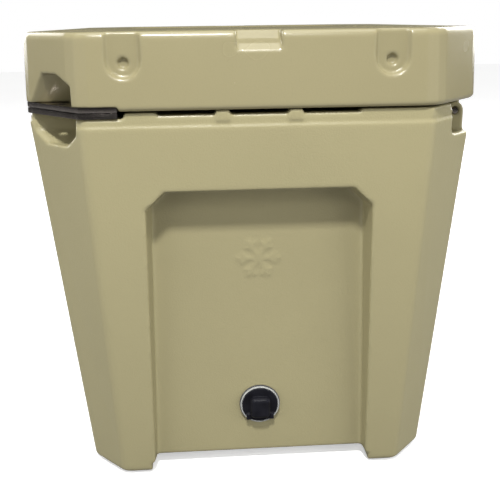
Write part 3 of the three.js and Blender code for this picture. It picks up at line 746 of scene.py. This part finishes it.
class COOLER_OT_fill_plugs(bpy.types.Operator):
    """Plugs that close the foam filling ports"""

    bl_idname = "cooler.fill_plugs"
    bl_label = "Filling Plugs"

    def execute(self, context):
        for node in ("tub_foam_plug_1", "tub_foam_plug_2", "lid_foam_plug"):
            low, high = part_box(node)
            centre = (low + high) / 2
            plug = add_cylinder(
                node + "_disc",
                (high.x - low.x) / 2,
                (centre.x, centre.y, low.z),
                (centre.x, centre.y, high.z),
                sides=48,
            )
            pick(plug)
            bpy.ops.object.mode_set(mode="EDIT")
            bpy.ops.mesh.select_all(action="DESELECT")
            bpy.ops.object.mode_set(mode="OBJECT")
            for face in plug.data.polygons:
                face.select = face.normal.z < -0.9
            bpy.ops.object.mode_set(mode="EDIT")
            bpy.ops.mesh.inset(thickness=3 * MM, depth=0.0)
            bpy.ops.mesh.inset(thickness=MM, depth=-MM)
            bpy.ops.object.mode_set(mode="OBJECT")
            bevel_edges(plug, 0.6 * MM, 3)
            lid = node.startswith("lid")
            finish_piece(
                plug,
                MATERIALS["lid" if lid else "tub"],
                owner(node),
                "lid_plastic" if lid else "tub_plastic",
                node,
            )
        return {"FINISHED"}


class COOLER_OT_lock_plates(bpy.types.Operator):
    """Brushed padlock plates at the front corners of tub and lid"""

    bl_idname = "cooler.lock_plates"
    bl_label = "Padlock Plates"

    def execute(self, context):
        edge = context.scene.cooler_hardware.plate_edge
        for node in sorted(node for node in frame["nodes"] if "lock_plate" in node):
            plate = merged_copy(node + "_brushed", node)
            bevel_edges(plate, edge, 3)
            finish_piece(plate, MATERIALS["plate"], owner(node), "plate", node)
        return {"FINISHED"}


class COOLER_OT_screws(bpy.types.Operator):
    """Countersunk screws with a six-sided socket"""

    bl_idname = "cooler.screws"
    bl_label = "Screws"

    def execute(self, context):
        first = SCREW_NODES[0]
        low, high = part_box(first)
        centre = place(first)
        head_up = "tub_plate" in first
        template = merged_copy("screw_template", first)
        face = high.z if head_up else low.z
        inward = -1 if head_up else 1
        ends = sorted([face - inward * MM, face + inward * 1.6 * MM])
        socket = add_cylinder(
            "screw_socket",
            1.9 * MM,
            (centre.x, centre.y, ends[0]),
            (centre.x, centre.y, ends[1]),
            sides=6,
        )
        combine(template, socket, "DIFFERENCE")
        bevel_edges(template, 0.2 * MM, 2)
        for node in SCREW_NODES:
            up = "tub_plate" in node
            there = place(node)
            turn = Matrix.Identity(4) if up == head_up else Matrix.Rotation(math.pi, 4, "X")
            matrix = Matrix.Translation(there) @ turn @ Matrix.Translation(-centre)
            screw = copy_to(template, node + "_socket_head", matrix)
            finish_piece(screw, MATERIALS["screw"], owner(node), "steel", node)
        bpy.data.objects.remove(template)
        return {"FINISHED"}


class COOLER_OT_hinge_rod(bpy.types.Operator):
    """Hinge rod with domed ends"""

    bl_idname = "cooler.hinge_rod"
    bl_label = "Hinge Rod"

    def execute(self, context):
        rod = round_bar("hinge_rod_drawn", "hinge_rod", 40, 1.2 * MM, 4)
        finish_piece(rod, MATERIALS["rod"], "tub", "steel", "hinge_rod")
        return {"FINISHED"}


class COOLER_OT_drain(bpy.types.Operator):
    """Drain: flange, washers, nut, and the plug with its grip"""

    bl_idname = "cooler.drain"
    bl_label = "Drain"

    def execute(self, context):
        sizes = context.scene.cooler_drain
        low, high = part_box("drain_housing")
        self.y = (low.y + high.y) / 2
        self.z = (low.z + high.z) / 2
        self.rim = high.x
        self.make_flange(sizes, low.x, (high.z - low.z) / 2)
        self.make_plug(sizes)
        nut = merged_copy("drain_nut_moulded", "drain_nut")
        bevel_edges(nut, 0.6 * MM, 3)
        finish_piece(nut, MATERIALS["plug"], "tub", "drain_plug", "drain_nut")
        for node in ("drain_inner_washer", "drain_plug_ring"):
            washer = merged_copy(node + "_rubber", node)
            bevel_edges(washer, 0.25 * MM, 3)
            finish_piece(washer, MATERIALS["seal"], owner(node), "seal", node)
        return {"FINISHED"}

    def disc(self, name, radius, back, front):
        """A round piece about the drain's axis, between two places along it."""
        return add_cylinder(name, radius, (back, self.y, self.z), (front, self.y, self.z), "X", 72)

    def make_flange(self, sizes, inner, radius):
        flange = self.disc("drain_flange", radius, self.rim - sizes.flange_thickness, self.rim)
        tube = self.disc("tube", sizes.tube_radius, inner, self.rim - MM)
        combine(flange, tube, "UNION")
        bore = self.disc("bore", sizes.bore_radius, inner - MM, self.rim + MM)
        combine(flange, bore, "DIFFERENCE")
        seat_radius = radius - sizes.ring_width
        seat = self.disc("seat", seat_radius, self.rim - sizes.seat_depth, self.rim + MM)
        combine(flange, seat, "DIFFERENCE")
        bevel_edges(flange, 0.4 * MM, 3)
        finish_piece(flange, MATERIALS["ring"], "tub", "drain_ring", "drain_housing")
        low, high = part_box("drain_outer_washer")
        washer = self.disc("drain_outer_washer_rubber", radius + sizes.washer_lip, low.x, high.x)
        hole = self.disc("hole", sizes.tube_radius + 0.3 * MM, low.x - MM, high.x + MM)
        combine(washer, hole, "DIFFERENCE")
        bevel_edges(washer, 0.2 * MM, 2)
        finish_piece(washer, MATERIALS["seal"], "tub", "seal", "drain_outer_washer")

    def make_plug(self, sizes):
        low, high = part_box("drain_plug")
        cap_back = self.rim - sizes.seat_depth + 0.4 * MM
        plug = self.disc("drain_plug_moulded", sizes.cap_radius, cap_back, self.rim + sizes.cap_rise)
        shaft = self.disc("shaft", sizes.shaft_radius, low.x, cap_back + MM)
        combine(plug, shaft, "UNION")
        side = sizes.grip_width / 2
        middle = self.z - sizes.grip_drop
        half = sizes.grip_height / 2
        grip = add_box(
            "grip",
            (self.rim - MM, self.y - side, middle - half),
            (self.rim + sizes.grip_reach, self.y + side, middle + half),
        )
        apply_modifier(grip, "BEVEL", width=sizes.grip_width * 0.22, segments=5)
        combine(plug, grip, "UNION")
        for offset in (-EAR_OFFSET, EAR_OFFSET):
            ear = add_box(
                "ear",
                (self.rim - MM, self.y + offset - EAR_HALF_WIDTH, self.z - EAR_LOW),
                (self.rim + EAR_RISE, self.y + offset + EAR_HALF_WIDTH, self.z - EAR_HIGH),
            )
            combine(plug, ear, "UNION")
        round_off(plug, 0.4 * MM, 5, SMALL_TRIANGLES)
        finish_piece(plug, MATERIALS["plug"], owner("drain_plug"), "drain_plug", "drain_plug")


class COOLER_OT_feet(bpy.types.Operator):
    """Rubber foot pads"""

    bl_idname = "cooler.feet"
    bl_label = "Feet"

    def execute(self, context):
        for node in sorted(node for node in frame["nodes"] if node.startswith("foot_pad")):
            pad = merged_copy(node + "_rubber", node)
            bevel_edges(pad, 0.5 * MM, 3)
            finish_piece(pad, MATERIALS["rubber"], "tub", "rubber", node)
        return {"FINISHED"}


class COOLER_OT_latches(bpy.types.Operator):
    """Rubber T-latches and the pins they hang on"""

    bl_idname = "cooler.latches"
    bl_label = "Latches"

    def execute(self, context):
        for side in ("left", "right"):
            node = "latch_" + side
            latch = merged_copy(node + "_rubber", node)
            round_off(latch, 0.7 * MM, 6, SMALL_TRIANGLES)
            finish_piece(latch, MATERIALS["rubber"], owner(node), "rubber", node)
            pin_node = "latch_pin_" + side
            pin = round_bar(pin_node + "_steel", pin_node, 32, 0.6 * MM, 3)
            finish_piece(pin, MATERIALS["rod"], owner(pin_node), "steel", pin_node)
        return {"FINISHED"}


class COOLER_OT_lid_seal(bpy.types.Operator):
    """Soft seal in the lid's underside"""

    bl_idname = "cooler.lid_seal"
    bl_label = "Lid Seal"

    def execute(self, context):
        seal = merged_copy("lid_seal_rubber", "lid_gasket")
        bevel_edges(seal, 1.5 * MM, 4)
        finish_piece(seal, MATERIALS["seal"], "lid", "seal", "lid_gasket")
        return {"FINISHED"}


class COOLER_OT_stage(bpy.types.Operator):
    """Camera, floor and soft studio light"""

    bl_idname = "cooler.stage"
    bl_label = "Stage"

    def execute(self, context):
        stage = context.scene.cooler_stage
        self.make_camera(context, stage)
        self.make_floor(stage)
        self.make_world(context)
        self.make_lights()
        context.scene.view_settings.view_transform = "Standard"
        return {"FINISHED"}

    def make_camera(self, context, stage):
        forward = Vector((
            -math.cos(stage.yaw) * math.cos(stage.pitch),
            math.sin(stage.yaw) * math.cos(stage.pitch),
            -math.sin(stage.pitch),
        ))
        right = forward.cross(Vector((0, 0, 1))).normalized()
        up = right.cross(forward)
        turned_right = right * math.cos(stage.roll) + up * math.sin(stage.roll)
        turned_up = up * math.cos(stage.roll) - right * math.sin(stage.roll)
        matrix = Matrix((turned_right, turned_up, -forward)).transposed().to_4x4()
        matrix.translation = Vector(stage.camera_place)
        data = bpy.data.cameras.new("camera")
        data.lens = stage.lens
        data.sensor_width = 36.0
        data.clip_start = 0.01
        camera = bpy.data.objects.new("camera", data)
        camera.matrix_world = matrix
        context.scene.collection.objects.link(camera)
        context.scene.camera = camera

    def make_floor(self, stage):
        deselect()
        bpy.ops.mesh.primitive_plane_add(size=stage.floor_size, location=(0, 0, 0))
        floor = bpy.context.object
        floor.name = "floor"
        floor.data.materials.append(pale_floor("studio_floor"))

    def make_world(self, context):
        """Soft even surroundings, with a white sweep behind the object."""
        world = bpy.data.worlds.new("studio")
        world.use_nodes = True
        tree = world.node_tree
        surroundings = tree.nodes["Background"]
        surroundings.inputs["Strength"].default_value = SURROUNDINGS_STRENGTH
        sweep = tree.nodes.new("ShaderNodeBackground")
        sweep.inputs["Color"].default_value = (1.0, 1.0, 1.0, 1.0)
        surroundings.inputs["Color"].default_value = (1.0, 1.0, 1.0, 1.0)
        path = tree.nodes.new("ShaderNodeLightPath")
        mix = tree.nodes.new("ShaderNodeMixShader")
        tree.links.new(path.outputs["Is Camera Ray"], mix.inputs["Fac"])
        tree.links.new(surroundings.outputs["Background"], mix.inputs[1])
        tree.links.new(sweep.outputs["Background"], mix.inputs[2])
        tree.links.new(mix.outputs["Shader"], tree.nodes["World Output"].inputs["Surface"])
        context.scene.world = world

    def make_lights(self):
        overhead = bpy.data.lights.new("overhead", "SUN")
        overhead.energy = OVERHEAD_STRENGTH
        overhead.angle = math.radians(50)
        bpy.context.scene.collection.objects.link(bpy.data.objects.new("overhead", overhead))
        self.add_light("key", **KEY)
        self.add_light("fill", **FILL)
        for side, power in SIDE_POWER.items():
            where = (0.9, side * 1.8, 0.45)
            soft = self.add_light("side", where, (0.2, side * 0.1, 0.2), (2.4, 1.4), power)
            soft.visible_glossy = False
            where = (-1.4, side * 1.4, 0.9)
            self.add_light("back", where, (-0.1, 0.0, 0.2), (1.2, 1.2), BACK_POWER)

    def add_light(self, name, where, target, size, power):
        """A rectangular lamp that faces its target."""
        data = bpy.data.lights.new(name, "AREA")
        data.shape = "RECTANGLE"
        data.size = size[0]
        data.size_y = size[1]
        data.energy = power
        light = bpy.data.objects.new(name, data)
        light.location = where
        direction = Vector(target) - Vector(where)
        light.rotation_euler = direction.to_track_quat("-Z", "Y").to_euler()
        bpy.context.scene.collection.objects.link(light)
        return light


PIECES = (
    COOLER_OT_tub,
    COOLER_OT_lid,
    COOLER_OT_fill_plugs,
    COOLER_OT_lock_plates,
    COOLER_OT_screws,
    COOLER_OT_hinge_rod,
    COOLER_OT_drain,
    COOLER_OT_feet,
    COOLER_OT_latches,
    COOLER_OT_lid_seal,
)


class COOLER_PT_panel(bpy.types.Panel):
    """Lists the cooler's pieces"""

    bl_idname = "COOLER_PT_panel"
    bl_label = "Cooler Chest"
    bl_space_type = "VIEW_3D"
    bl_region_type = "UI"
    bl_category = "Cooler"

    def draw(self, context):
        layout = self.layout
        for piece in PIECES + (COOLER_OT_stage,):
            layout.operator(piece.bl_idname)


SETTINGS = (ShellSettings, HardwareSettings, DrainSettings, StageSettings)
CLASSES = SETTINGS + PIECES + (COOLER_OT_stage, COOLER_PT_panel)


def register():
    for made in CLASSES:
        bpy.utils.register_class(made)
    bpy.types.Scene.cooler_shell = bpy.props.PointerProperty(type=ShellSettings)
    bpy.types.Scene.cooler_hardware = bpy.props.PointerProperty(type=HardwareSettings)
    bpy.types.Scene.cooler_drain = bpy.props.PointerProperty(type=DrainSettings)
    bpy.types.Scene.cooler_stage = bpy.props.PointerProperty(type=StageSettings)


def unregister():
    del bpy.types.Scene.cooler_stage
    del bpy.types.Scene.cooler_drain
    del bpy.types.Scene.cooler_hardware
    del bpy.types.Scene.cooler_shell
    for made in reversed(CLASSES):
        bpy.utils.unregister_class(made)


def main():
    register()
    bpy.context.view_layer.update()
    make_materials(bpy.context)
    for piece in PIECES:
        getattr(bpy.ops.cooler, piece.bl_idname.split(".")[1])()
    bpy.ops.cooler.stage()


if __name__ == "__main__":
    main()
